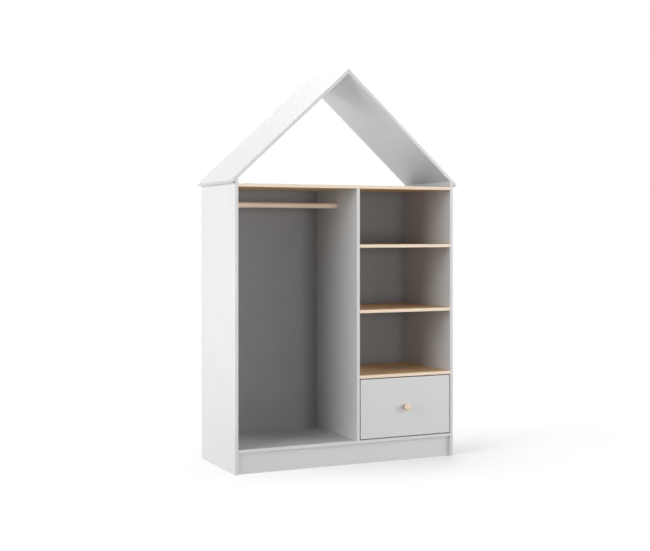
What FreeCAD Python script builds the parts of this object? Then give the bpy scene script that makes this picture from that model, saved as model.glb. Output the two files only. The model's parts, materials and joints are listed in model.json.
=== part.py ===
import FreeCAD, Part
import math
import os

Vector = FreeCAD.Vector

# Open wardrobe with a house roof: hanging bay on the left, cubbies over a drawer on the right.
# Millimetres and degrees. +X is right, +Y is back, +Z is up. The floor is at zero height.

# Carcass
carcass_width = 1200.0
carcass_depth = 485.0
board = 16.0
plinth_height = 102.0
plinth_recess = 13.0
rear_plinth_recess = 40.0
hanging_bay_width = 630.0
drawer_opening_height = 306.0
lower_cubby_height = 311.0
middle_cubby_height = 311.0
upper_cubby_height = 279.0
side_upstand = 12.5
roof_pitch = 42.15
edge_radius = 0.8

# Hardboard of the backs and the drawer bottom, and its grooves
hardboard = 3.0
back_inset = 5.0
groove_depth = 5.0
groove_clearance = 0.15

# Loose shelves and their supports
shelf_play = 0.5
pin_radius = 2.5
pin_floor = 8.0
pin_plate = 1.5
pin_width = 10.0
pin_height = 12.0
pin_pad = 9.0

# Hanging rail
rail_radius = 14.0
rail_drop = 82.0
rail_setback = 238.0
rail_socket_depth = 6.0
rail_end_play = 0.2

# Cam fittings and dowels
cam_radius = 7.5
cam_floor = 3.5
cam_setback = 50.0
row_pitch = 32.0
eaves_row_gap = 38.0
eaves_cam_gap = 6.0
driver_slot_width = 1.6
driver_slot_depth = 2.0
cap_radius = 8.5
cap_thickness = 0.8
bolt_reach = 34.0
bolt_radius = 3.0
bolt_neck_radius = 1.9
bolt_neck_length = 6.0
bolt_head_length = 3.0
thread_radius = 2.5
thread_floor = 5.0
dowel_radius = 4.0
dowel_in_end = 19.0
dowel_floor = 5.0
hole_clearance = 0.1
plinth_dowel_setback = 200.0

# Screws
confirmat_radius = 3.0
confirmat_length = 48.0
confirmat_head_radius = 5.0
runner_screw_radius = 2.5
runner_screw_floor = 5.0
bottom_screw_radius = 1.5
bottom_screw_length = 13.0
bottom_screw_head_radius = 3.5
bottom_screw_head = 1.2

# Drawer
drawer_gap = 4.5
drawer_box_drop = 90.0
drawer_rear_gap = 61.0
drawer_bottom_lift = 12.0
drawer_back_drop = 10.0

# Roller runners
runner_gap = 12.5
runner_sheet = 1.2
runner_lift = 14.0
runner_setback = 3.0
runner_overlap = 67.0
runner_play = 2.4
flange_gap = 1.0
saddle_reach = 12.0
saddle_lift = 1.0
roller_radius = 10.0
roller_clearance = 0.3
roller_side_gap = 0.4
roller_end_margin = 5.0
roller_edge = 0.8
axle_radius = 3.0
axle_clearance = 0.06
axle_head = 1.0
axle_head_radius = 5.0
axle_head_gap = 1.5
stop_height = 5.0
stop_thickness = 2.0
stop_gap = 0.5

# Knob
knob_radius = 17.5
knob_neck_radius = 10.0
knob_neck_length = 9.0
knob_flare = 2.0
knob_edge = 4.0
knob_rim = 7.5
knob_crown = 1.5
knob_screw_radius = 2.0
knob_screw_bite = 14.0
knob_screw_head = 2.5
knob_screw_head_radius = 4.0

# Cuts run past the faces they open through by this much
overrun = 1.0

# Places along a part, as shares of its length or height
plinth_cam_share = 0.66
plinth_dowel_share = 0.3
cabinet_screw_shares = (0.14, 0.5, 0.9)
drawer_screw_shares = (0.2, 0.5, 0.8)
drawer_cam_shares = (0.27, 0.76)
drawer_dowel_shares = (0.43, 0.6)
drawer_back_screw_shares = (0.2, 0.8)
bottom_screw_shares = (0.15, 0.5, 0.85)
knob_waist_share = 0.85
knob_arc_share = 0.7071

# One whole revolution, in degrees
full_turn = 360.0

# Levels and faces worked out from the sizes above
ORIGIN = Vector(0, 0, 0)
RIGHT = Vector(1, 0, 0)
LEFT = Vector(-1, 0, 0)
BACK = Vector(0, 1, 0)
FRONT = Vector(0, -1, 0)
UP = Vector(0, 0, 1)
DOWN = Vector(0, 0, -1)

half_board = board / 2
half_width = carcass_width / 2
knob_projection = knob_neck_length + knob_flare + knob_edge + knob_rim + knob_edge + knob_crown
front_y = (knob_projection - carcass_depth) / 2
rear_y = front_y + carcass_depth
back_face_y = rear_y - back_inset - hardboard
inner_x = half_width - board
divider_left_x = hanging_bay_width - inner_x
divider_right_x = divider_left_x + board
divider_x = divider_left_x + half_board
floor_z = plinth_height + board
lower_shelf_z = floor_z + drawer_opening_height
middle_shelf_z = lower_shelf_z + board + lower_cubby_height
upper_shelf_z = middle_shelf_z + board + middle_cubby_height
top_z = upper_shelf_z + board + upper_cubby_height
eaves_z = top_z + board + side_upstand

pitch = math.radians(roof_pitch)
roof_drop = board / math.cos(pitch)
overhang = board / math.sin(pitch)
heel_inset = board * math.sin(pitch)
heel_drop = board * math.cos(pitch)
bevel_rise = board * math.tan(pitch)
ridge_z = eaves_z + roof_drop + half_width * math.tan(pitch)

front_row = front_y + cam_setback
rear_row = back_face_y - cam_setback
cam_rows = (front_row, rear_row)
dowel_rows = (front_row + row_pitch, rear_row - row_pitch)
roof_rows = (dowel_rows[0] + eaves_row_gap, dowel_rows[1] - eaves_row_gap)
cam_depth = board - cam_floor
thread_depth = board - thread_floor
dowel_in_face = board - dowel_floor
pin_depth = board - pin_floor
confirmat_head = confirmat_head_radius - confirmat_radius
runner_screw_depth = board - runner_screw_floor
runner_screw_head_radius = runner_screw_radius + runner_sheet

slide_y = front_y + board
box_left_x = divider_right_x + runner_gap
box_right_x = inner_x - runner_gap
box_rear_y = back_face_y - drawer_rear_gap
runner_z = floor_z + runner_lift
axle_z = runner_z + roller_clearance + roller_radius
flange_z = axle_z + roller_radius + roller_clearance
runner_top_z = flange_z + runner_sheet + runner_play
runner_front_y = slide_y + runner_setback
front_axle_y = runner_front_y + roller_radius + roller_end_margin
rear_axle_y = box_rear_y - roller_radius - roller_end_margin
drawer_travel = rear_axle_y - front_axle_y - runner_overlap
roller_width = runner_gap - 2 * runner_sheet - 2 * roller_side_gap - axle_head - axle_head_gap
flange_reach = runner_gap - runner_sheet - flange_gap
box_z = runner_z + saddle_lift + runner_sheet
box_top_z = lower_shelf_z - drawer_box_drop
box_height = box_top_z - box_z
drawer_bottom_z = box_z + drawer_bottom_lift
drawer_front_x = (divider_right_x + inner_x) / 2
drawer_front_z = floor_z + drawer_opening_height / 2


# Shape helpers

def block(x0, x1, y0, y1, z0, z1):
    """Box between two x, two y and two z places, in either order."""
    corner = Vector(min(x0, x1), min(y0, y1), min(z0, z1))
    return Part.makeBox(abs(x1 - x0), abs(y1 - y0), abs(z1 - z0), corner)


def rod(start, along, length, radius):
    """Round bar from a point along a direction."""
    return Part.makeCylinder(radius, length, start, along)


def turned(profile):
    """Solid of revolution about X through (place along X, radius) points."""
    corners = [Vector(along, radius, 0) for along, radius in profile]
    outline = Part.makePolygon(corners + corners[:1])
    return Part.Face(outline).revolve(ORIGIN, RIGHT, full_turn)


def section(points):
    """Board cut to an outline of (x, z) points, as deep as the carcass."""
    corners = [Vector(x, front_y, z) for x, z in points]
    outline = Part.makePolygon(corners + corners[:1])
    return Part.Face(outline).extrude(BACK * carcass_depth)


def eased(solid, along, faces):
    """Round the edges that run along a direction in the given front or rear planes."""
    edges = []
    for edge in solid.Edges:
        ends = edge.Vertexes
        run = ends[1].Point - ends[0].Point
        on_face = any(all(abs(end.Y - y) < edge_radius / 2 for end in ends) for y in faces)
        if on_face and run.cross(along).Length < edge_radius:
            edges.append(edge)
    return solid.makeFillet(edge_radius, edges)


def place(shape, origin, along, out):
    """Copy of a fitting drawn with +X along its axis and +Z out of the board's face."""
    placed = shape.copy()
    placed.Placement = FreeCAD.Placement(origin, FreeCAD.Rotation(along, out.cross(along), out, "ZXY"))
    return placed


# Holes, gathered for each board while the fittings are placed

holes = {}


def drill(name, tool):
    """Note a hole or a groove in a board."""
    holes.setdefault(name, []).append(tool)


def drilled(name, solid):
    """The board with its holes and grooves made."""
    return solid.cut(holes.get(name, []))


def export(name, shapes):
    """Write one piece, or a group of like pieces."""
    shape = Part.makeCompound(shapes) if isinstance(shapes, list) else shapes
    shape.exportStep("parts/" + name + ".step")


# Knock-down fittings

def bolt_profile(reach):
    """Outline of a cam bolt's stem, from the joint back to the head in the cam."""
    head_end = -reach - bolt_head_length / 2
    head_start = head_end + bolt_head_length
    neck_start = head_start + bolt_neck_length
    stem = [(0, bolt_radius), (neck_start, bolt_radius)]
    neck = [(neck_start, bolt_neck_radius), (head_start, bolt_neck_radius)]
    head = [(head_start, bolt_radius), (head_end, bolt_radius), (head_end, 0)]
    return stem + neck + head


def cam_lock():
    """Cam disc with a cross slot and a way in for the bolt's head. Its mouth is at the origin."""
    disc = rod(DOWN * (cam_depth - hole_clearance), UP, cam_depth - hole_clearance, cam_radius)
    way_start = Vector(-bolt_head_length / 2 - hole_clearance, 0, -half_board)
    way = rod(way_start, RIGHT, cam_radius + bolt_head_length, bolt_radius + hole_clearance)
    arm = cam_radius / 2
    half_slot = driver_slot_width / 2
    slots = [block(-arm, arm, -half_slot, half_slot, -driver_slot_depth, overrun),
             block(-half_slot, half_slot, -arm, arm, -driver_slot_depth, overrun)]
    return disc.cut([way] + slots)


def cam_bolt():
    """Cam bolt: a thread in the face of one board and a stem in the end of the other."""
    thread = [(thread_depth, 0), (thread_depth, thread_radius), (0, thread_radius)]
    return turned(thread + bolt_profile(bolt_reach))


def drill_cam(name, centre, out):
    """Blind bore for a cam in a board's face."""
    mouth = centre + out * half_board
    drill(name, rod(mouth + out * overrun, out * -1, cam_depth + overrun, cam_radius + hole_clearance))
    return mouth


def cam_joint(owner, receiver, seat, into, out, kit):
    """Cam joint from the end of one board into the face of another."""
    stem_hole = bolt_reach + bolt_head_length / 2 + hole_clearance
    drill(receiver, rod(seat, into, thread_depth + hole_clearance, thread_radius + hole_clearance))
    drill(owner, rod(seat, into * -1, stem_hole, bolt_radius + hole_clearance))
    mouth = drill_cam(owner, seat - into * bolt_reach, out)
    kit["locks"].append(place(cam_lock(), mouth, into, out))
    kit["bolts"].append(place(cam_bolt(), seat, into, out))


def dowel_joint(owner, receiver, seat, into, kit):
    """Dowel from the end of one board into the face of another."""
    radius = dowel_radius + hole_clearance
    drill(receiver, rod(seat, into, dowel_in_face + hole_clearance, radius))
    drill(owner, rod(seat, into * -1, dowel_in_end + hole_clearance, radius))
    kit["dowels"].append(rod(seat - into * dowel_in_end, into, dowel_in_end + dowel_in_face, dowel_radius))


def new_kit():
    """Empty set of fittings."""
    return {"locks": [], "bolts": [], "dowels": []}


def screw(radius, length, head_radius, head):
    """Countersunk screw along +X, with the top of its head at the origin."""
    return turned([(0, 0), (0, head_radius), (head, radius), (length, radius), (length, 0)])


def end_joints(owner, receiver, x, z, into, kit):
    """Two cams and two dowels at one end of a level board."""
    for y in cam_rows:
        cam_joint(owner, receiver, Vector(x, y, z), into, DOWN, kit)
    for y in dowel_rows:
        dowel_joint(owner, receiver, Vector(x, y, z), into, kit)


def level_board_joints(kit):
    """Joints of the top, the bottom and the fixed shelf with the upright boards."""
    for owner, z in (("top_panel", top_z + half_board), ("bottom_panel", plinth_height + half_board)):
        end_joints(owner, "side_panel_left", -inner_x, z, LEFT, kit)
        end_joints(owner, "side_panel_right", inner_x, z, RIGHT, kit)
    end_joints("shelf_lower", "divider_panel", divider_right_x, lower_shelf_z + half_board, LEFT, kit)
    end_joints("shelf_lower", "side_panel_right", inner_x, lower_shelf_z + half_board, RIGHT, kit)


def divider_joints(kit):
    """Cams and dowels at the divider's head, screws and dowels at its foot."""
    screws = []
    shape = screw(confirmat_radius, confirmat_length, confirmat_head_radius, confirmat_head)
    for y in cam_rows:
        cam_joint("divider_panel", "top_panel", Vector(divider_x, y, top_z), UP, RIGHT, kit)
        start = Vector(divider_x, y, plinth_height)
        screws.append(place(shape, start, UP, RIGHT))
        drill_screw("bottom_panel", "divider_panel", start, UP)
    for y in dowel_rows:
        dowel_joint("divider_panel", "top_panel", Vector(divider_x, y, top_z), UP, kit)
        dowel_joint("divider_panel", "bottom_panel", Vector(divider_x, y, floor_z), DOWN, kit)
    return screws


def drill_screw(through, into_board, start, along):
    """Countersunk hole for a confirmat screw through one board into the end of another."""
    radius = confirmat_radius + hole_clearance
    depth = confirmat_length - board + hole_clearance
    sink_radius = confirmat_head_radius + hole_clearance
    drill(through, Part.makeCone(sink_radius, radius, confirmat_head, start, along))
    drill(through, rod(start, along, board, radius))
    drill(into_board, rod(start + along * board, along, depth, radius))


def plinth_joints(kit):
    """Joints of the two plinth boards with the sides and with the bottom panel."""
    front_mid = front_y + plinth_recess + half_board
    rear_mid = back_face_y - rear_plinth_recess - half_board
    for owner, y, out in (("plinth_front", front_mid, BACK), ("plinth_rear", rear_mid, FRONT)):
        for receiver, into in (("side_panel_left", LEFT), ("side_panel_right", RIGHT)):
            x = into.x * inner_x
            cam_joint(owner, receiver, Vector(x, y, plinth_height * plinth_cam_share), into, out, kit)
            dowel_joint(owner, receiver, Vector(x, y, plinth_height * plinth_dowel_share), into, kit)
            top = Vector(x, y, plinth_height) - into * plinth_dowel_setback
            dowel_joint(owner, "bottom_panel", top, UP, kit)


# Carcass boards

def side_panel(name, side):
    """Side board, bevelled at the top to the roof's pitch."""
    outer = side * half_width
    inner = side * inner_x
    blank = section([(outer, 0), (inner, 0), (inner, eaves_z + bevel_rise), (outer, eaves_z)])
    return drilled(name, eased(blank, UP, [front_y]))


def level_board(name, x0, x1, z, depth_end):
    """Level board with its long front edges rounded."""
    return drilled(name, eased(block(x0, x1, front_y, depth_end, z, z + board), RIGHT, [front_y]))


def divider_panel():
    """Upright board between the bays."""
    blank = block(divider_left_x, divider_right_x, front_y, rear_y, floor_z, top_z)
    return drilled("divider_panel", eased(blank, UP, [front_y]))


def plinth(name, y):
    """Plinth board standing on the floor between the sides."""
    return drilled(name, block(-inner_x, inner_x, y, y + board, 0, plinth_height))


def groove_y():
    """Front and rear of the groove that holds the backs."""
    return back_face_y - groove_clearance, back_face_y + hardboard + groove_clearance


def drill_grooves():
    """Grooves for the hardboard backs in the boards around each bay."""
    y0, y1 = groove_y()
    top_end = top_z + groove_depth
    low_end = floor_z - groove_depth
    drill("side_panel_left", block(-inner_x, -inner_x - groove_depth, y0, y1, low_end, top_end))
    drill("side_panel_right", block(inner_x, inner_x + groove_depth, y0, y1, low_end, top_end))
    drill("divider_panel", block(divider_left_x, divider_left_x + groove_depth, y0, y1, floor_z, top_z))
    drill("divider_panel", block(divider_right_x, divider_right_x - groove_depth, y0, y1, floor_z, top_z))
    drill("top_panel", block(-inner_x, inner_x, y0, y1, top_z, top_end))
    drill("bottom_panel", block(-inner_x, inner_x, y0, y1, low_end, floor_z))


def back_panel(x0, x1):
    """Hardboard back of one bay, standing in its grooves."""
    tuck = groove_depth - groove_clearance
    low = floor_z - groove_depth
    return block(x0 - tuck, x1 + tuck, back_face_y, back_face_y + hardboard, low, top_z + tuck)


def loose_shelf(z):
    """Shelf that lies on its supports."""
    x0 = divider_right_x + shelf_play
    x1 = inner_x - shelf_play
    return eased(block(x0, x1, front_y, back_face_y - shelf_play, z, z + board), RIGHT, [front_y])


def shelf_pin(wall_x, inward, y, z):
    """Angle support with a pin in the wall and a flat pad under the shelf."""
    half = pin_width / 2
    plate = block(wall_x, wall_x + inward * pin_plate, y - half, y + half, z - pin_height, z)
    pad = block(wall_x, wall_x + inward * pin_pad, y - half, y + half, z - pin_plate, z)
    start = Vector(wall_x + inward * pin_plate, y, z - pin_height / 2)
    pin = rod(start, RIGHT * -inward, pin_plate + pin_depth, pin_radius)
    return plate.fuse([pad, pin]).removeSplitter()


def shelf_pins():
    """Four supports for each loose shelf, with their holes."""
    pins = []
    depth = pin_depth + hole_clearance
    radius = pin_radius + hole_clearance
    for name, wall_x, inward in (("divider_panel", divider_right_x, 1), ("side_panel_right", inner_x, -1)):
        for z in (middle_shelf_z, upper_shelf_z):
            for y in cam_rows:
                drill(name, rod(Vector(wall_x, y, z - pin_height / 2), RIGHT * -inward, depth, radius))
                pins.append(shelf_pin(wall_x, inward, y, z))
    return pins


def hanging_rail():
    """Round wooden rail, held in blind sockets in the left side and the divider."""
    y = front_y + rail_setback
    z = top_z - rail_drop
    socket_radius = rail_radius + hole_clearance
    drill("side_panel_left", rod(Vector(-inner_x, y, z), LEFT, rail_socket_depth, socket_radius))
    drill("divider_panel", rod(Vector(divider_left_x, y, z), RIGHT, rail_socket_depth, socket_radius))
    tuck = rail_socket_depth - rail_end_play
    return rod(Vector(-inner_x - tuck, y, z), RIGHT, hanging_bay_width + 2 * tuck, rail_radius)


# Roof

def roof_blank(side):
    """Roof board: plumb mitre at the ridge, square cut at the eaves."""
    tip = side * (half_width + overhang)
    heel = side * (half_width + overhang - heel_inset)
    return section([(0, ridge_z), (tip, eaves_z), (heel, eaves_z - heel_drop), (0, ridge_z - roof_drop)])


def roof_panel(name, side):
    """Roof board with its front and rear edges rounded."""
    fall = Vector(side * math.cos(pitch), 0, -math.sin(pitch))
    return drilled(name, eased(roof_blank(side), fall, [front_y, rear_y]))


def ridge_bolts(locks, caps):
    """Hinged bolts across the ridge mitre, each with a cam in both roof boards."""
    bolts = []
    stem = turned([(0, 0)] + bolt_profile(bolt_reach))
    reach = bolt_reach + bolt_head_length / 2 + hole_clearance
    for y in roof_rows:
        hinge = Vector(0, y, ridge_z - roof_drop / 2)
        arms = [Part.makeSphere(bolt_radius, hinge)]
        for name, side in (("roof_panel_left", -1), ("roof_panel_right", 1)):
            fall = Vector(side * math.cos(pitch), 0, -math.sin(pitch))
            out = Vector(-side * math.sin(pitch), 0, -math.cos(pitch))
            arms.append(place(stem, hinge, fall * -1, out))
            drill(name, rod(hinge - fall * board, fall, board + reach, bolt_radius + hole_clearance))
            add_cam(name, hinge + fall * bolt_reach, fall * -1, out, locks, caps)
        bolts.append(arms[0].fuse(arms[1:]))
    return bolts


def add_cam(name, centre, along, out, locks, caps):
    """Cam and its cover in a face that shows."""
    mouth = drill_cam(name, centre, out)
    locks.append(place(cam_lock(), mouth, along, out))
    caps.append(rod(mouth, out, cap_thickness, cap_radius))


def eaves_bolts(locks, caps):
    """Hinged bolts from the roof's underside down into the sides."""
    bolts = []
    cam_z = top_z - eaves_cam_gap - cam_radius
    seat_z = eaves_z + bevel_rise / 2
    reach = seat_z - cam_z
    stem = turned([(bevel_rise, 0), (bevel_rise, bolt_radius)] + bolt_profile(reach))
    hole_length = board + reach + bolt_head_length
    for hand, side in (("left", -1), ("right", 1)):
        panel = "side_panel_" + hand
        roof = "roof_panel_" + hand
        normal = Vector(side * math.sin(pitch), 0, math.cos(pitch))
        inward = RIGHT * -side
        for y in roof_rows:
            seat = Vector(side * (inner_x + half_board), y, seat_z)
            thread = rod(seat, normal, thread_depth, thread_radius)
            trimmed = place(stem, seat, UP, inward).cut(roof_blank(side))
            bolts.append(trimmed.Solids[0].fuse(thread))
            drill(roof, rod(seat, normal, thread_depth + hole_clearance, thread_radius + hole_clearance))
            drill(panel, rod(seat + UP * board, DOWN, hole_length, bolt_radius + hole_clearance))
            add_cam(panel, Vector(seat.x, y, cam_z), UP, inward, locks, caps)
    return bolts


# Roller runners

def runner_screws(rail, panel, x, outward, y0, y1, shares):
    """Flat-headed screws through a runner's web into a board, spread by shares of the runner's length."""
    screws = []
    along = RIGHT * outward
    radius = runner_screw_radius + hole_clearance
    sink_radius = runner_screw_head_radius + hole_clearance
    length = runner_sheet + runner_screw_depth
    shape = screw(runner_screw_radius, length, runner_screw_head_radius, runner_sheet)
    for share in shares:
        seat = Vector(x, y0 + (y1 - y0) * share, axle_z)
        screws.append(place(shape, seat, along, UP))
        drill(rail, Part.makeCone(sink_radius, radius, runner_sheet, seat, along))
        drill(panel, rod(seat + along * runner_sheet, along, runner_screw_depth + hole_clearance, radius))
    return screws


def axle(x, y, inward):
    """Rivet through a runner's web with a head that keeps the roller on."""
    seat = runner_sheet + roller_width + 2 * roller_side_gap
    shape = turned([(0, 0), (0, axle_radius), (seat, axle_radius), (seat, axle_head_radius),
                    (seat + axle_head, axle_head_radius), (seat + axle_head, 0)])
    return place(shape, Vector(x, y, axle_z), RIGHT * inward, UP)


def roller(x, y, inward):
    """Nylon roller on its axle."""
    bore = axle_radius + axle_clearance
    rim = roller_radius - roller_edge
    near_side = [(0, bore), (0, rim), (roller_edge, roller_radius)]
    far_side = [(roller_width - roller_edge, roller_radius), (roller_width, rim), (roller_width, bore)]
    shape = turned(near_side + far_side)
    start = Vector(x + inward * (runner_sheet + roller_side_gap), y, axle_z)
    return place(shape, start, RIGHT * inward, UP)


def cabinet_rail(name, wall_x, inward):
    """Channel on the cabinet wall, with a stop lug at each end of the rear roller's run."""
    web_x = wall_x + inward * runner_sheet
    edge_x = wall_x + inward * flange_reach
    low_z = runner_z - runner_sheet
    high_z = runner_top_z + runner_sheet
    web = block(wall_x, web_x, runner_front_y, box_rear_y, low_z, high_z)
    track = block(wall_x, edge_x, runner_front_y, box_rear_y, low_z, runner_z)
    guard = block(wall_x, edge_x, runner_front_y, box_rear_y, runner_top_z, high_z)
    front_stop = rear_axle_y - drawer_travel - roller_radius - stop_gap
    rear_stop = rear_axle_y + roller_radius + stop_gap
    lugs = [block(web_x, edge_x, front_stop, front_stop - stop_thickness, runner_z, runner_z + stop_height),
            block(web_x, edge_x, rear_stop, rear_stop + stop_thickness, runner_z, runner_z + stop_height)]
    axle_seat = Vector(wall_x, front_axle_y, axle_z)
    drill(name, rod(axle_seat, RIGHT * inward, runner_sheet, axle_radius + axle_clearance))
    return drilled(name, web.fuse([track, guard] + lugs).removeSplitter())


def drawer_rail(name, side_x, outward):
    """Profile on the drawer side: a saddle under it and a flange that runs on the front roller."""
    web_x = side_x + outward * runner_sheet
    web = block(side_x, web_x, slide_y, box_rear_y, box_z - runner_sheet, flange_z + runner_sheet)
    saddle = block(web_x, side_x - outward * saddle_reach, slide_y, box_rear_y, box_z - runner_sheet, box_z)
    edge_x = side_x + outward * flange_reach
    flange = block(side_x, edge_x, slide_y, box_rear_y, flange_z, flange_z + runner_sheet)
    axle_seat = Vector(side_x, rear_axle_y, axle_z)
    drill(name, rod(axle_seat, RIGHT * outward, runner_sheet, axle_radius + axle_clearance))
    return drilled(name, web.fuse([saddle, flange]).removeSplitter())


def runner_pair(hand, panel, wall_x, side_x, inward, kit):
    """Cabinet and drawer runner of one side, with their rollers, axles and screws."""
    cabinet = "cabinet_rail_" + hand
    drawer = "drawer_rail_" + hand
    cabinet_web = wall_x + inward * runner_sheet
    drawer_web = side_x - inward * runner_sheet
    kit["cabinet_rail_screws"] += runner_screws(cabinet, panel, cabinet_web, -inward,
                                                runner_front_y, box_rear_y, cabinet_screw_shares)
    kit["drawer_rail_screws"] += runner_screws(drawer, "drawer_side_" + hand, drawer_web, inward,
                                               slide_y, box_rear_y, drawer_screw_shares)
    kit["cabinet_axles"].append(axle(wall_x, front_axle_y, inward))
    kit["drawer_axles"].append(axle(side_x, rear_axle_y, -inward))
    export(cabinet, cabinet_rail(cabinet, wall_x, inward))
    export(drawer, drawer_rail(drawer, side_x, -inward))
    export("roller_front_" + hand, roller(wall_x, front_axle_y, inward))
    export("roller_rear_" + hand, roller(side_x, rear_axle_y, -inward))


def runners():
    """Both pairs of roller runners."""
    kit = {"cabinet_axles": [], "drawer_axles": [], "cabinet_rail_screws": [], "drawer_rail_screws": []}
    runner_pair("left", "divider_panel", divider_right_x, box_left_x, 1, kit)
    runner_pair("right", "side_panel_right", inner_x, box_right_x, -1, kit)
    for name, shapes in kit.items():
        export(name, shapes)


# Drawer

def drawer_front_joints(kit):
    """Cams and dowels between the drawer front and the drawer sides."""
    left_x = box_left_x + half_board
    right_x = box_right_x - half_board
    for name, x, out in (("drawer_side_left", left_x, LEFT), ("drawer_side_right", right_x, RIGHT)):
        for share in drawer_cam_shares:
            cam_joint(name, "drawer_front", Vector(x, slide_y, box_z + box_height * share), FRONT, out, kit)
        for share in drawer_dowel_shares:
            dowel_joint(name, "drawer_front", Vector(x, slide_y, box_z + box_height * share), FRONT, kit)


def drawer_front():
    """Inset front with a groove for the bottom and a hole for the knob's screw."""
    x0 = divider_right_x + drawer_gap
    x1 = inner_x - drawer_gap
    z0 = floor_z + drawer_gap
    z1 = lower_shelf_z - drawer_gap
    blank = block(x0, x1, front_y, slide_y, z0, z1)
    blank = eased(eased(blank, RIGHT, [front_y]), UP, [front_y])
    groove_x0 = box_left_x + board - groove_depth
    groove_x1 = box_right_x - board + groove_depth
    groove_y0 = slide_y - groove_depth
    groove_top = drawer_bottom_z + hardboard + groove_clearance
    drill("drawer_front", block(groove_x0, groove_x1, groove_y0, slide_y, drawer_bottom_z, groove_top))
    centre = Vector(drawer_front_x, front_y, drawer_front_z)
    drill("drawer_front", rod(centre, BACK, board, knob_screw_radius + hole_clearance))
    return drilled("drawer_front", blank)


def drawer_side(name, outer_x, inward):
    """Drawer side with a groove for the bottom."""
    inner = outer_x + inward * board
    groove_end = inner - inward * groove_depth
    drill(name, block(inner, groove_end, slide_y, box_rear_y, drawer_bottom_z,
                      drawer_bottom_z + hardboard + groove_clearance))
    return drilled(name, block(outer_x, inner, slide_y, box_rear_y, box_z, box_top_z))


def drawer_back():
    """Drawer back between the sides, standing on the bottom."""
    low = drawer_bottom_z + hardboard
    high = box_top_z - drawer_back_drop
    blank = block(box_left_x + board, box_right_x - board, box_rear_y - board, box_rear_y, low, high)
    return drilled("drawer_back", blank)


def drawer_bottom():
    """Hardboard bottom in the grooves of the sides and the front, under the back."""
    tuck = groove_depth - groove_clearance
    blank = block(box_left_x + board - tuck, box_right_x - board + tuck, slide_y - tuck, box_rear_y,
                  drawer_bottom_z, drawer_bottom_z + hardboard)
    return drilled("drawer_bottom", blank)


def drawer_back_screws():
    """Screws through the drawer sides into the ends of the back."""
    screws = []
    shape = screw(confirmat_radius, confirmat_length, confirmat_head_radius, confirmat_head)
    low = drawer_bottom_z + hardboard
    height = box_top_z - drawer_back_drop - low
    sides = (("drawer_side_left", box_left_x, RIGHT), ("drawer_side_right", box_right_x, LEFT))
    for name, x, along in sides:
        for share in drawer_back_screw_shares:
            start = Vector(x, box_rear_y - half_board, low + height * share)
            screws.append(place(shape, start, along, UP))
            drill_screw(name, "drawer_back", start, along)
    return screws


def round_headed_screw(radius, length, head_radius, head):
    """Round-headed screw along +X, with the underside of its head at the origin."""
    top = [(-head, 0), (-head, head_radius), (0, head_radius)]
    return turned(top + [(0, radius), (length, radius), (length, 0)])


def drawer_bottom_screws():
    """Small screws through the bottom into the back's lower edge."""
    screws = []
    head_radius = bottom_screw_head_radius
    shape = round_headed_screw(bottom_screw_radius, bottom_screw_length, head_radius, bottom_screw_head)
    x0 = box_left_x + board
    width = box_right_x - board - x0
    for share in bottom_screw_shares:
        start = Vector(x0 + width * share, box_rear_y - half_board, drawer_bottom_z)
        screws.append(place(shape, start, UP, RIGHT))
        hole = rod(start, UP, bottom_screw_length + hole_clearance, bottom_screw_radius + hole_clearance)
        drill("drawer_bottom", hole)
        drill("drawer_back", hole)
    return screws


def knob():
    """Turned knob: a waisted neck and a head with a rounded rim and a slightly crowned face."""
    under_x = knob_neck_length + knob_flare
    rim_x = under_x + knob_edge + knob_rim
    face_radius = knob_radius - knob_edge
    bend = knob_edge * knob_arc_share
    foot = Vector(0, knob_neck_radius, 0)
    waist = Vector(knob_neck_length / 2, knob_neck_radius * knob_waist_share, 0)
    neck = Vector(knob_neck_length, knob_neck_radius, 0)
    under = Vector(under_x, face_radius, 0)
    under_bend = Vector(under_x + knob_edge - bend, face_radius + bend, 0)
    under_rim = Vector(under_x + knob_edge, knob_radius, 0)
    rim = Vector(rim_x, knob_radius, 0)
    rim_bend = Vector(rim_x + bend, face_radius + bend, 0)
    face = Vector(rim_x + knob_edge, face_radius, 0)
    crown = Vector(knob_projection, 0, 0)
    crown_mirror = Vector(rim_x + knob_edge, -face_radius, 0)
    dome = Part.Arc(face, crown, crown_mirror)
    half_dome = Part.Arc(face, dome.value((dome.FirstParameter * 3 + dome.LastParameter) / 4), crown)
    edges = [Part.makeLine(ORIGIN, foot), Part.Arc(foot, waist, neck).toShape(), Part.makeLine(neck, under),
             Part.Arc(under, under_bend, under_rim).toShape(), Part.makeLine(under_rim, rim),
             Part.Arc(rim, rim_bend, face).toShape(), half_dome.toShape(), Part.makeLine(crown, ORIGIN)]
    shape = Part.Face(Part.Wire(edges)).revolve(ORIGIN, RIGHT, full_turn)
    bore = rod(ORIGIN, RIGHT, knob_screw_bite + hole_clearance, knob_screw_radius + hole_clearance)
    return place(shape.cut(bore), Vector(drawer_front_x, front_y, drawer_front_z), FRONT, UP)


def knob_screw():
    """Screw from inside the drawer through the front into the knob."""
    length = board + knob_screw_bite
    shape = round_headed_screw(knob_screw_radius, length, knob_screw_head_radius, knob_screw_head)
    return place(shape, Vector(drawer_front_x, slide_y, drawer_front_z), FRONT, UP)


# Build: fittings first, because they note the holes that the boards then get

os.makedirs("parts", exist_ok=True)

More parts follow.
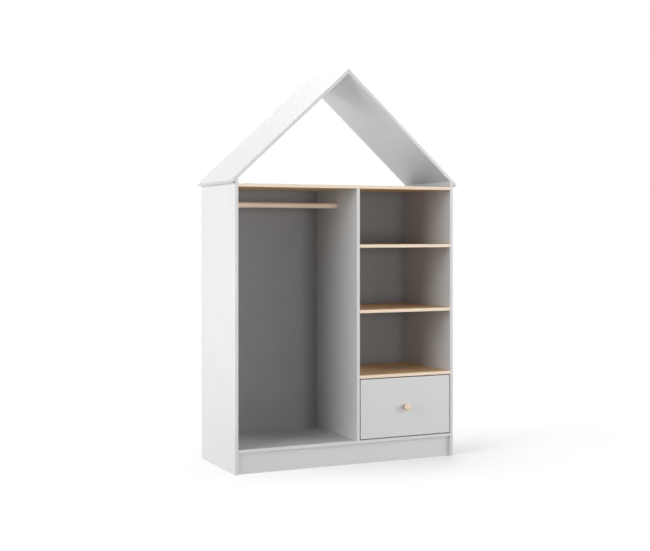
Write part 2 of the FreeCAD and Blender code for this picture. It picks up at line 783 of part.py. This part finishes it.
carcass_kit = new_kit()
drawer_kit = new_kit()
roof_locks = []
roof_caps = []
level_board_joints(carcass_kit)
export("confirmat_screws", divider_joints(carcass_kit))
plinth_joints(carcass_kit)
drawer_front_joints(drawer_kit)
drill_grooves()
export("shelf_pins", shelf_pins())
export("hanging_rail", hanging_rail())
export("ridge_bolts", ridge_bolts(roof_locks, roof_caps))
export("eaves_bolts", eaves_bolts(roof_locks, roof_caps))
export("roof_cams", roof_locks)
export("cam_caps", roof_caps)
export("cam_locks", carcass_kit["locks"])
export("cam_bolts", carcass_kit["bolts"])
export("wood_dowels", carcass_kit["dowels"])
export("drawer_cam_locks", drawer_kit["locks"])
export("drawer_cam_bolts", drawer_kit["bolts"])
export("drawer_dowels", drawer_kit["dowels"])
export("drawer_back_screws", drawer_back_screws())
export("drawer_bottom_screws", drawer_bottom_screws())
runners()

for hand, side in (("left", -1), ("right", 1)):
    export("side_panel_" + hand, side_panel("side_panel_" + hand, side))
    export("roof_panel_" + hand, roof_panel("roof_panel_" + hand, side))
export("divider_panel", divider_panel())
export("top_panel", level_board("top_panel", -inner_x, inner_x, top_z, rear_y))
export("bottom_panel", level_board("bottom_panel", -inner_x, inner_x, plinth_height, rear_y))
export("shelf_lower", level_board("shelf_lower", divider_right_x, inner_x, lower_shelf_z, back_face_y))
export("shelf_middle", loose_shelf(middle_shelf_z))
export("shelf_upper", loose_shelf(upper_shelf_z))
export("back_panel_left", back_panel(-inner_x, divider_left_x))
export("back_panel_right", back_panel(divider_right_x, inner_x))
export("plinth_front", plinth("plinth_front", front_y + plinth_recess))
export("plinth_rear", plinth("plinth_rear", back_face_y - rear_plinth_recess - board))
export("drawer_front", drawer_front())
export("drawer_side_left", drawer_side("drawer_side_left", box_left_x, 1))
export("drawer_side_right", drawer_side("drawer_side_right", box_right_x, -1))
export("drawer_back", drawer_back())
export("drawer_bottom", drawer_bottom())
export("knob", knob())
export("knob_screw", knob_screw())
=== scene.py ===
import json
import math

import bpy
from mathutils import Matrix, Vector


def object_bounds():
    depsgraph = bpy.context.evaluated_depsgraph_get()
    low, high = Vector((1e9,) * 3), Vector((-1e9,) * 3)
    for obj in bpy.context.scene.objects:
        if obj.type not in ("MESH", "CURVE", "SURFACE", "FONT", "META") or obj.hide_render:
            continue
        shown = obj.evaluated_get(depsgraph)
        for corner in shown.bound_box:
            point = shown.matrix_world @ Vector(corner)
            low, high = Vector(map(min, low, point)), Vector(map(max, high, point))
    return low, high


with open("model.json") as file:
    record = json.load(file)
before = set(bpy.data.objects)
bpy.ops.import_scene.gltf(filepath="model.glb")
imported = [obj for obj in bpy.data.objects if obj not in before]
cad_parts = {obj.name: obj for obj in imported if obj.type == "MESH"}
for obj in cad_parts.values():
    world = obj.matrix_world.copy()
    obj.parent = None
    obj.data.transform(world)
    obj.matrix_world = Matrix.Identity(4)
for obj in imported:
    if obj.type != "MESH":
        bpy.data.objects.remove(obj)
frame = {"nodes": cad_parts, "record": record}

# Open wardrobe with a house roof: laminated boards, oak decor shelves, beech rail and knob.
# Metres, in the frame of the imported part: +X right, +Y back, +Z up, floor at zero height.

cad_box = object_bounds()
MM = 0.001


# Colour and node helpers

def linear(code):
    """Linear RGBA of an sRGB hex colour."""
    channels = [int(code[start:start + 2], 16) / 255 for start in (1, 3, 5)]
    return [c / 12.92 if c <= 0.04045 else ((c + 0.055) / 1.055) ** 2.4 for c in channels] + [1.0]


def add_node(tree, kind, inputs=None, **settings):
    """New shader node. Each input takes a plain value, or an output socket to link from."""
    made = tree.nodes.new(kind)
    for name, value in settings.items():
        setattr(made, name, value)
    for name, value in (inputs or {}).items():
        if isinstance(value, bpy.types.NodeSocket):
            tree.links.new(value, made.inputs[name])
        else:
            made.inputs[name].default_value = value
    return made


def new_finish(name):
    """Empty material, its node tree, and the place on the piece that its patterns follow."""
    finish = bpy.data.materials.new(name)
    finish.use_nodes = True
    tree = finish.node_tree
    tree.nodes.clear()
    return finish, tree, add_node(tree, "ShaderNodeTexCoord").outputs["Object"]


def facing(tree):
    """The way a face looks, as outputs X, Y and Z."""
    normal = add_node(tree, "ShaderNodeNewGeometry").outputs["Normal"]
    return add_node(tree, "ShaderNodeSeparateXYZ", {"Vector": normal}).outputs


# Sockets of the colour Mix node, which has one set for each kind of data
MIX_FACTOR, MIX_A, MIX_B, MIX_RESULT = 0, 6, 7, 2

# How far a face has to look one way to count as squarely or roughly that way
SQUARELY = 0.9
ROUGHLY = 0.5

# Melamine resin and clear lacquers bend light alike
RESIN_IOR = 1.5
EPOXY_IOR = 1.52
PLASTIC_IOR = 1.53


# Light grey boards

PEARL_GRAIN = 1.4 * MM
PEARL_HEIGHT = 0.03 * MM
PEARL_STRENGTH = 0.25
PEARL_ROUGHNESS = (0.36, 0.48)
MOTTLE_SIZE = 140 * MM
CHIP_SIZE = 3.2 * MM
CHIP_ROUGHNESS = 0.9


def melamine_tone(tree, place):
    """Even light grey with a very faint cloud, as pressed melamine has."""
    mottle = add_node(tree, "ShaderNodeTexNoise",
                      {"Vector": place, "Scale": 1 / MOTTLE_SIZE, "Detail": 3.0})
    return add_node(tree, "ShaderNodeMix",
                    {MIX_FACTOR: mottle.outputs["Fac"], MIX_A: linear("#C0C0C0"),
                     MIX_B: linear("#C6C6C6")}, data_type="RGBA").outputs[MIX_RESULT]


def particle_board_edge(tree, place, colour, roughness):
    """Colour and roughness with bare particle board on the faces that look to the rear."""
    rear = add_node(tree, "ShaderNodeMath", {0: facing(tree)["Y"], 1: SQUARELY},
                    operation="GREATER_THAN").outputs["Value"]
    chips = add_node(tree, "ShaderNodeTexVoronoi", {"Vector": place, "Scale": 1 / CHIP_SIZE})
    chip_tone = add_node(tree, "ShaderNodeSeparateColor", {"Color": chips.outputs["Color"]})
    board = add_node(tree, "ShaderNodeMix",
                     {MIX_FACTOR: chip_tone.outputs["Red"], MIX_A: linear("#8F7350"),
                      MIX_B: linear("#C9AE86")}, data_type="RGBA")
    mixed = add_node(tree, "ShaderNodeMix",
                     {MIX_FACTOR: rear, MIX_A: colour, MIX_B: board.outputs[MIX_RESULT]},
                     data_type="RGBA")
    dull = add_node(tree, "ShaderNodeMapRange",
                    {"Value": rear, "To Min": roughness, "To Max": CHIP_ROUGHNESS})
    return mixed.outputs[MIX_RESULT], dull.outputs["Result"]


def light_grey_melamine(name, raw_rear):
    """Melamine pressed on particle board: even satin grey, a fine pearl texture in the sheen.

    The pearl is drawn coarser than the real 0.3 mm so that it shows. A rear edge that is cut
    and never banded shows the brown chips of the board.
    """
    finish, tree, place = new_finish(name)
    pearl = add_node(tree, "ShaderNodeTexNoise",
                     {"Vector": place, "Scale": 1 / PEARL_GRAIN, "Detail": 2.0}).outputs["Fac"]
    smooth, rough = PEARL_ROUGHNESS
    roughness = add_node(tree, "ShaderNodeMapRange",
                         {"Value": pearl, "To Min": smooth, "To Max": rough}).outputs["Result"]
    bump = add_node(tree, "ShaderNodeBump",
                    {"Height": pearl, "Strength": PEARL_STRENGTH, "Distance": PEARL_HEIGHT})
    colour = melamine_tone(tree, place)
    if raw_rear:
        colour, roughness = particle_board_edge(tree, place, colour, roughness)
    shader = add_node(tree, "ShaderNodeBsdfPrincipled",
                      {"Base Color": colour, "Roughness": roughness, "IOR": RESIN_IOR,
                       "Normal": bump.outputs["Normal"]})
    add_node(tree, "ShaderNodeOutputMaterial", {"Surface": shader.outputs["BSDF"]})
    return finish


# Oak decor boards

GROWTH_BAND = 26 * MM
GROWTH_RUN = 700 * MM
GROWTH_LIMITS = (0.32, 0.68)
FIBRE_WIDTH = 3 * MM
FIBRE_RUN = 130 * MM
FIBRE_LIMITS = (0.45, 0.8)
FIBRE_DEPTH = 0.5
PORE_WIDTH = 1.1 * MM
PORE_RUN = 16 * MM
PORE_LIMITS = (0.64, 0.7)
PORE_DEPTH = 0.4
PORE_STRENGTH = 0.2
DECOR_ROUGHNESS = (0.38, 0.52)
BAND_PALENESS = 0.82


def along_board(tree, place, run, width):
    """Coordinates that give a noise of scale one this length along X and this width across."""
    stretch = (1 / run, 1 / width, 1 / width)
    return add_node(tree, "ShaderNodeMapping", {"Vector": place, "Scale": stretch}).outputs["Vector"]


def oak_print(tree, place):
    """Colour of the printed oak, with the fibre and pore patterns that its surface follows."""
    band = add_node(tree, "ShaderNodeTexNoise",
                    {"Vector": along_board(tree, place, GROWTH_RUN, GROWTH_BAND),
                     "Scale": 1.0, "Detail": 3.0, "Distortion": 0.6})
    fibre = add_node(tree, "ShaderNodeTexNoise",
                     {"Vector": along_board(tree, place, FIBRE_RUN, FIBRE_WIDTH),
                      "Scale": 1.0, "Detail": 4.0}).outputs["Fac"]
    pore = add_node(tree, "ShaderNodeTexNoise",
                    {"Vector": along_board(tree, place, PORE_RUN, PORE_WIDTH),
                     "Scale": 1.0, "Detail": 1.0}).outputs["Fac"]
    low, high = GROWTH_LIMITS
    growth = add_node(tree, "ShaderNodeMapRange",
                      {"Value": band.outputs["Fac"], "From Min": low, "From Max": high})
    wood = add_node(tree, "ShaderNodeMix",
                    {MIX_FACTOR: growth.outputs["Result"], MIX_A: linear("#D8AD7C"),
                     MIX_B: linear("#EBC798")}, data_type="RGBA")
    low, high = FIBRE_LIMITS
    streak = add_node(tree, "ShaderNodeMapRange",
                      {"Value": fibre, "From Min": low, "From Max": high, "To Max": FIBRE_DEPTH})
    fibred = add_node(tree, "ShaderNodeMix",
                      {MIX_FACTOR: streak.outputs["Result"], MIX_A: wood.outputs[MIX_RESULT],
                       MIX_B: linear("#B8966C")}, data_type="RGBA")
    low, high = PORE_LIMITS
    open_pore = add_node(tree, "ShaderNodeMapRange",
                         {"Value": pore, "From Min": low, "From Max": high, "To Max": PORE_DEPTH})
    printed = add_node(tree, "ShaderNodeMix",
                       {MIX_FACTOR: open_pore.outputs["Result"], MIX_A: fibred.outputs[MIX_RESULT],
                        MIX_B: linear("#9C7B55")}, data_type="RGBA")
    return printed.outputs[MIX_RESULT], fibre, pore


def oak_decor_melamine(name, grey_above):
    """Printed light oak under melamine: soft growth bands, fine straight fibres, short open pores.

    The plastic band on the front edge is a shade paler than the printed faces. A board whose
    upper face is plain has light grey melamine there.
    """
    finish, tree, place = new_finish(name)
    printed, fibre, pore = oak_print(tree, place)
    way = facing(tree)
    front = add_node(tree, "ShaderNodeMapRange",
                     {"Value": way["Y"], "From Min": -ROUGHLY, "From Max": -SQUARELY,
                      "To Max": BAND_PALENESS})
    colour = add_node(tree, "ShaderNodeMix",
                      {MIX_FACTOR: front.outputs["Result"], MIX_A: printed,
                       MIX_B: linear("#D8CBBA")}, data_type="RGBA").outputs[MIX_RESULT]
    if grey_above:
        above = add_node(tree, "ShaderNodeMath", {0: way["Z"], 1: SQUARELY}, operation="GREATER_THAN")
        colour = add_node(tree, "ShaderNodeMix",
                          {MIX_FACTOR: above.outputs["Value"], MIX_A: colour,
                           MIX_B: melamine_tone(tree, place)}, data_type="RGBA").outputs[MIX_RESULT]
    smooth, rough = DECOR_ROUGHNESS
    sheen = add_node(tree, "ShaderNodeMapRange", {"Value": fibre, "To Min": smooth, "To Max": rough})
    bump = add_node(tree, "ShaderNodeBump",
                    {"Height": pore, "Strength": PORE_STRENGTH, "Distance": PEARL_HEIGHT})
    shader = add_node(tree, "ShaderNodeBsdfPrincipled",
                      {"Base Color": colour, "Roughness": sheen.outputs["Result"], "IOR": RESIN_IOR,
                       "Normal": bump.outputs["Normal"]})
    add_node(tree, "ShaderNodeOutputMaterial", {"Surface": shader.outputs["BSDF"]})
    return finish


# Rail, knob and dowels

BEECH_BAND = 7 * MM
BEECH_RUN = 260 * MM
BEECH_LIMITS = (0.3, 0.7)
FLECK_WIDTH = 0.9 * MM
FLECK_RUN = 4.5 * MM
FLECK_LIMITS = (0.62, 0.7)
FLECK_DEPTH = 0.45
FLECK_STRENGTH = 0.15
BEECH_ROUGHNESS = 0.42


def lacquered_beech():
    """Turned beech under clear satin lacquer: pinkish tan, faint bands, small dark flecks."""
    finish, tree, place = new_finish("lacquered_beech")
    band = add_node(tree, "ShaderNodeTexNoise",
                    {"Vector": along_board(tree, place, BEECH_RUN, BEECH_BAND),
                     "Scale": 1.0, "Detail": 4.0, "Distortion": 0.3})
    fleck = add_node(tree, "ShaderNodeTexNoise",
                     {"Vector": along_board(tree, place, FLECK_RUN, FLECK_WIDTH),
                      "Scale": 1.0, "Detail": 1.0}).outputs["Fac"]
    low, high = BEECH_LIMITS
    growth = add_node(tree, "ShaderNodeMapRange",
                      {"Value": band.outputs["Fac"], "From Min": low, "From Max": high})
    wood = add_node(tree, "ShaderNodeMix",
                    {MIX_FACTOR: growth.outputs["Result"], MIX_A: linear("#CDB59C"),
                     MIX_B: linear("#DDCCB9")}, data_type="RGBA")
    low, high = FLECK_LIMITS
    mark = add_node(tree, "ShaderNodeMapRange",
                    {"Value": fleck, "From Min": low, "From Max": high, "To Max": FLECK_DEPTH})
    flecked = add_node(tree, "ShaderNodeMix",
                       {MIX_FACTOR: mark.outputs["Result"], MIX_A: wood.outputs[MIX_RESULT],
                        MIX_B: linear("#A58264")}, data_type="RGBA")
    bump = add_node(tree, "ShaderNodeBump",
                    {"Height": fleck, "Strength": FLECK_STRENGTH, "Distance": PEARL_HEIGHT})
    shader = add_node(tree, "ShaderNodeBsdfPrincipled",
                      {"Base Color": flecked.outputs[MIX_RESULT], "Roughness": BEECH_ROUGHNESS,
                       "IOR": RESIN_IOR, "Normal": bump.outputs["Normal"]})
    add_node(tree, "ShaderNodeOutputMaterial", {"Surface": shader.outputs["BSDF"]})
    return finish


# Backs and drawer bottom

FIBRE_MAT = 2.2 * MM
MAT_STRENGTH = 0.3
LACQUER_ROUGHNESS = 0.45
MAT_ROUGHNESS = 0.85


def lacquered_hardboard_painted_shade():
    """Pressed fibre board: grey lacquer on the inner face, drawn darker than the real light grey
    board as painted shade of the deep bays; bare brown fibre behind and below.
    """
    finish, tree, place = new_finish("lacquered_hardboard_painted_shade")
    way = facing(tree)
    rear = add_node(tree, "ShaderNodeMath", {0: way["Y"], 1: ROUGHLY}, operation="GREATER_THAN")
    under = add_node(tree, "ShaderNodeMath", {0: way["Z"], 1: -ROUGHLY}, operation="LESS_THAN")
    bare = add_node(tree, "ShaderNodeMath",
                    {0: rear.outputs["Value"], 1: under.outputs["Value"]},
                    operation="MAXIMUM").outputs["Value"]
    mat = add_node(tree, "ShaderNodeTexNoise",
                   {"Vector": place, "Scale": 1 / FIBRE_MAT, "Detail": 5.0}).outputs["Fac"]
    mottle = add_node(tree, "ShaderNodeTexNoise",
                      {"Vector": place, "Scale": 1 / MOTTLE_SIZE, "Detail": 3.0})
    fibre = add_node(tree, "ShaderNodeMix",
                     {MIX_FACTOR: mat, MIX_A: linear("#7E5F42"), MIX_B: linear("#A98763")},
                     data_type="RGBA")
    # Dark grey lacquer: the board's own grey darkened further as painted shade, so the backs of the
    # bays read as shaded under any light
    lacquer_and_painted_shade = add_node(tree, "ShaderNodeMix",
                       {MIX_FACTOR: mottle.outputs["Fac"], MIX_A: linear("#6A6868"),
                        MIX_B: linear("#706E6E")}, data_type="RGBA")
    colour = add_node(tree, "ShaderNodeMix",
                      {MIX_FACTOR: bare, MIX_A: lacquer_and_painted_shade.outputs[MIX_RESULT],
                       MIX_B: fibre.outputs[MIX_RESULT]}, data_type="RGBA")
    dull = add_node(tree, "ShaderNodeMapRange",
                    {"Value": bare, "To Min": LACQUER_ROUGHNESS, "To Max": MAT_ROUGHNESS})
    bump = add_node(tree, "ShaderNodeBump",
                    {"Height": mat, "Strength": MAT_STRENGTH, "Distance": PEARL_HEIGHT})
    shader = add_node(tree, "ShaderNodeBsdfPrincipled",
                      {"Base Color": colour.outputs[MIX_RESULT], "Roughness": dull.outputs["Result"],
                       "IOR": RESIN_IOR, "Normal": bump.outputs["Normal"]})
    add_node(tree, "ShaderNodeOutputMaterial", {"Surface": shader.outputs["BSDF"]})
    return finish


# Runners and fittings

SPANGLE_SIZE = 1.5 * MM
ZINC_ROUGHNESS = (0.26, 0.42)
ORANGE_PEEL = 2.0 * MM
PEEL_STRENGTH = 0.3
EPOXY_ROUGHNESS = 0.34
SPARK_GRAIN = 0.6 * MM
SPARK_STRENGTH = 0.25
NYLON_ROUGHNESS = 0.4
COVER_ROUGHNESS = 0.5


def zinc_plated_steel():
    """Zinc plate on steel: bluish grey metal with a cloudy gloss."""
    finish, tree, place = new_finish("zinc_plated_steel")
    cloud = add_node(tree, "ShaderNodeTexNoise",
                     {"Vector": place, "Scale": 1 / SPANGLE_SIZE, "Detail": 3.0}).outputs["Fac"]
    tone = add_node(tree, "ShaderNodeMix",
                    {MIX_FACTOR: cloud, MIX_A: linear("#B9BEC4"), MIX_B: linear("#CFD3D6")},
                    data_type="RGBA")
    smooth, rough = ZINC_ROUGHNESS
    gloss = add_node(tree, "ShaderNodeMapRange", {"Value": cloud, "To Min": smooth, "To Max": rough})
    shader = add_node(tree, "ShaderNodeBsdfPrincipled",
                      {"Base Color": tone.outputs[MIX_RESULT], "Metallic": 1.0,
                       "Roughness": gloss.outputs["Result"]})
    add_node(tree, "ShaderNodeOutputMaterial", {"Surface": shader.outputs["BSDF"]})
    return finish


def epoxy_coated_steel():
    """White epoxy powder baked on steel sheet: smooth, with a slight orange peel."""
    finish, tree, place = new_finish("epoxy_coated_steel")
    peel = add_node(tree, "ShaderNodeTexNoise",
                    {"Vector": place, "Scale": 1 / ORANGE_PEEL, "Detail": 1.0}).outputs["Fac"]
    tone = add_node(tree, "ShaderNodeMix",
                    {MIX_FACTOR: peel, MIX_A: linear("#E8E8E5"), MIX_B: linear("#EEEEEB")},
                    data_type="RGBA")
    bump = add_node(tree, "ShaderNodeBump",
                    {"Height": peel, "Strength": PEEL_STRENGTH, "Distance": PEARL_HEIGHT})
    shader = add_node(tree, "ShaderNodeBsdfPrincipled",
                      {"Base Color": tone.outputs[MIX_RESULT], "Roughness": EPOXY_ROUGHNESS,
                       "IOR": EPOXY_IOR, "Normal": bump.outputs["Normal"]})
    add_node(tree, "ShaderNodeOutputMaterial", {"Surface": shader.outputs["BSDF"]})
    return finish


def moulded_plastic(name, dark, light, roughness):
    """Injection-moulded plastic: one colour with a fine spark-eroded texture from the mould."""
    finish, tree, place = new_finish(name)
    spark = add_node(tree, "ShaderNodeTexNoise",
                     {"Vector": place, "Scale": 1 / SPARK_GRAIN, "Detail": 2.0}).outputs["Fac"]
    tone = add_node(tree, "ShaderNodeMix",
                    {MIX_FACTOR: spark, MIX_A: linear(dark), MIX_B: linear(light)},
                    data_type="RGBA")
    bump = add_node(tree, "ShaderNodeBump",
                    {"Height": spark, "Strength": SPARK_STRENGTH, "Distance": PEARL_HEIGHT})
    shader = add_node(tree, "ShaderNodeBsdfPrincipled",
                      {"Base Color": tone.outputs[MIX_RESULT], "Roughness": roughness,
                       "IOR": PLASTIC_IOR, "Normal": bump.outputs["Normal"]})
    add_node(tree, "ShaderNodeOutputMaterial", {"Surface": shader.outputs["BSDF"]})
    return finish


BARE_REAR = ("side_panel_left", "side_panel_right", "divider_panel", "bottom_panel")


def dress_pieces():
    """Give every CAD piece the finish of its slot. Carcass boards have bare rear edges."""
    banded = light_grey_melamine("light_grey_melamine", False)
    cut = light_grey_melamine("light_grey_melamine_bare_rear", True)
    top = oak_decor_melamine("oak_decor_melamine_grey_above", True)
    finishes = {
        "grey_laminate": banded,
        "wood_laminate": oak_decor_melamine("oak_decor_melamine", False),
        # Backs and drawer bottom: grey lacquer darkened with painted shade
        "grey_hardboard": lacquered_hardboard_painted_shade(),
        "beech": lacquered_beech(),
        "zinc_steel": zinc_plated_steel(),
        "white_steel": epoxy_coated_steel(),
        "nylon": moulded_plastic("natural_nylon", "#E6E3D8", "#EDEAE0", NYLON_ROUGHNESS),
        "grey_plastic": moulded_plastic("grey_polypropylene", "#CFCFCD", "#D6D6D4", COVER_ROUGHNESS),
    }
    own_finish = {name: cut for name in BARE_REAR}
    own_finish["top_panel"] = top
    for piece in frame["record"]["subparts"]:
        name = piece["node"]
        for slot in frame["nodes"][name].material_slots:
            slot.material = own_finish.get(name, finishes[piece["material_slot"]])


# Studio

# Each soft box: name, degrees from the front towards the left, degrees up,
# distance and side in metres, power in watts
SOFT_BOXES = (
    ("left_box", 77.0, 14.0, 7.0, 5.0, 480.0),
    ("top_box", 180.0, 88.0, 4.6, 2.6, 62.0),
    ("left_rear_box", 124.0, -4.0, 4.6, 1.6, 84.0),
    ("front_box", -2.0, -2.0, 7.0, 2.4, 245.0),
    ("right_box", -58.0, 8.0, 7.5, 5.0, 450.0),
    ("right_rear_box", -140.0, 20.0, 4.6, 2.0, 80.0),
    ("rear_box", -174.0, -4.0, 4.6, 1.4, 40.0),
    ("rear_top_box", 180.0, 60.0, 4.6, 2.6, 92.0),
)
WHITE = "#FFFFFF"
AMBIENT = 0.02
FLOOR_BOUNCE = "#8A8A8A"
FLOOR_SEEN = "#F0F0F0"
FLOOR_HALF = 12.0
SHADOW_MIDDLE = (0.5, 0.05, 0.0)
SHADOW_REACH = (1.6, 0.9, 1.0)
SHADOW_DEPTH = 1.0


def soft_box(aim, name, turn, rise, reach, side, power):
    """Square area light round a point, turned to it."""
    lamp = bpy.data.lights.new(name, "AREA")
    lamp.size = side
    lamp.energy = power
    holder = bpy.data.objects.new(name, lamp)
    bpy.context.scene.collection.objects.link(holder)
    turn, rise = math.radians(turn), math.radians(rise)
    level = math.cos(rise)
    out = Vector((-math.sin(turn) * level, -math.cos(turn) * level, math.sin(rise)))
    holder.location = aim + out * reach
    holder.rotation_euler = out.to_track_quat("Z", "Y").to_euler()


def camera_or_mirror(tree):
    """One for rays that show the background: seen directly, in gloss or through glass."""
    path = add_node(tree, "ShaderNodeLightPath").outputs
    seen = add_node(tree, "ShaderNodeMath", {0: path["Is Camera Ray"], 1: path["Is Glossy Ray"]},
                    operation="MAXIMUM")
    return add_node(tree, "ShaderNodeMath",
                    {0: seen.outputs["Value"], 1: path["Is Transmission Ray"]},
                    operation="MAXIMUM").outputs["Value"]


def white_room():
    """World that looks white and lights the part softly."""
    world = bpy.data.worlds.new("white_room")
    bpy.context.scene.world = world
    world.use_nodes = True
    tree = world.node_tree
    tree.nodes.clear()
    strength = add_node(tree, "ShaderNodeMapRange",
                        {"Value": camera_or_mirror(tree), "To Min": AMBIENT, "To Max": 1.0})
    light = add_node(tree, "ShaderNodeBackground",
                     {"Color": linear(WHITE), "Strength": strength.outputs["Result"]})
    add_node(tree, "ShaderNodeOutputWorld", {"Surface": light.outputs["Background"]})


def white_paper():
    """Matt paper that keeps a faint shadow near the part and glows plain white further off."""
    finish, tree, place = new_finish("white_paper")
    patch = add_node(tree, "ShaderNodeMapping",
                     {"Vector": place, "Location": SHADOW_MIDDLE, "Scale": SHADOW_REACH},
                     vector_type="TEXTURE")
    reach = add_node(tree, "ShaderNodeVectorMath", {0: patch.outputs["Vector"]}, operation="LENGTH")
    near = add_node(tree, "ShaderNodeMapRange",
                    {"Value": reach.outputs["Value"], "To Min": SHADOW_DEPTH, "To Max": 0.0},
                    interpolation_type="SMOOTHSTEP")
    away = add_node(tree, "ShaderNodeMath", {0: 1.0, 1: near.outputs["Result"]}, operation="SUBTRACT")
    seen = camera_or_mirror(tree)
    glow_share = add_node(tree, "ShaderNodeMath", {0: away.outputs["Value"], 1: seen},
                          operation="MULTIPLY")
    tone = add_node(tree, "ShaderNodeMix",
                    {MIX_FACTOR: seen, MIX_A: linear(FLOOR_BOUNCE), MIX_B: linear(FLOOR_SEEN)},
                    data_type="RGBA")
    paper = add_node(tree, "ShaderNodeBsdfDiffuse", {"Color": tone.outputs[MIX_RESULT]})
    glow = add_node(tree, "ShaderNodeEmission", {"Color": linear(WHITE), "Strength": 1.0})
    mixed = add_node(tree, "ShaderNodeMixShader",
                     {0: glow_share.outputs["Value"], 1: paper.outputs["BSDF"],
                      2: glow.outputs["Emission"]})
    add_node(tree, "ShaderNodeOutputMaterial", {"Surface": mixed.outputs["Shader"]})
    return finish


def studio_floor():
    """One large square of white paper under the part."""
    corners = [(-FLOOR_HALF, -FLOOR_HALF, 0), (FLOOR_HALF, -FLOOR_HALF, 0),
               (FLOOR_HALF, FLOOR_HALF, 0), (-FLOOR_HALF, FLOOR_HALF, 0)]
    mesh = bpy.data.meshes.new("studio_floor")
    mesh.from_pydata(corners, [], [(0, 1, 2, 3)])
    mesh.materials.append(white_paper())
    floor = bpy.data.objects.new("studio_floor", mesh)
    bpy.context.scene.collection.objects.link(floor)


def light_studio():
    """Soft boxes round the middle of the part, the white room and its floor."""
    low, high = [Vector(corner) for corner in cad_box]
    for box in SOFT_BOXES:
        soft_box((low + high) / 2, *box)
    white_room()
    studio_floor()


# Camera, fitted to the photo's board edges. Place in metres, turns in degrees, lens in millimetres.

CAMERA_PLACE = (-2.618, -5.567, 1.1574)
CAMERA_LEVEL = 90.0
CAMERA_YAW = 24.99
CAMERA_LENS = 66.38
CAMERA_SENSOR = 36.0
CAMERA_RISE = -0.0672


def photo_camera():
    """Level camera with a falling front, so that the uprights stay parallel."""
    lens = bpy.data.cameras.new("photo_camera")
    lens.sensor_fit = "HORIZONTAL"
    lens.sensor_width = CAMERA_SENSOR
    lens.lens = CAMERA_LENS
    lens.shift_y = CAMERA_RISE
    camera = bpy.data.objects.new("photo_camera", lens)
    bpy.context.scene.collection.objects.link(camera)
    camera.location = CAMERA_PLACE
    camera.rotation_euler = (math.radians(CAMERA_LEVEL), 0, math.radians(-CAMERA_YAW))
    bpy.context.scene.camera = camera


dress_pieces()
light_studio()
photo_camera()
bpy.context.scene.view_settings.view_transform = "Standard"
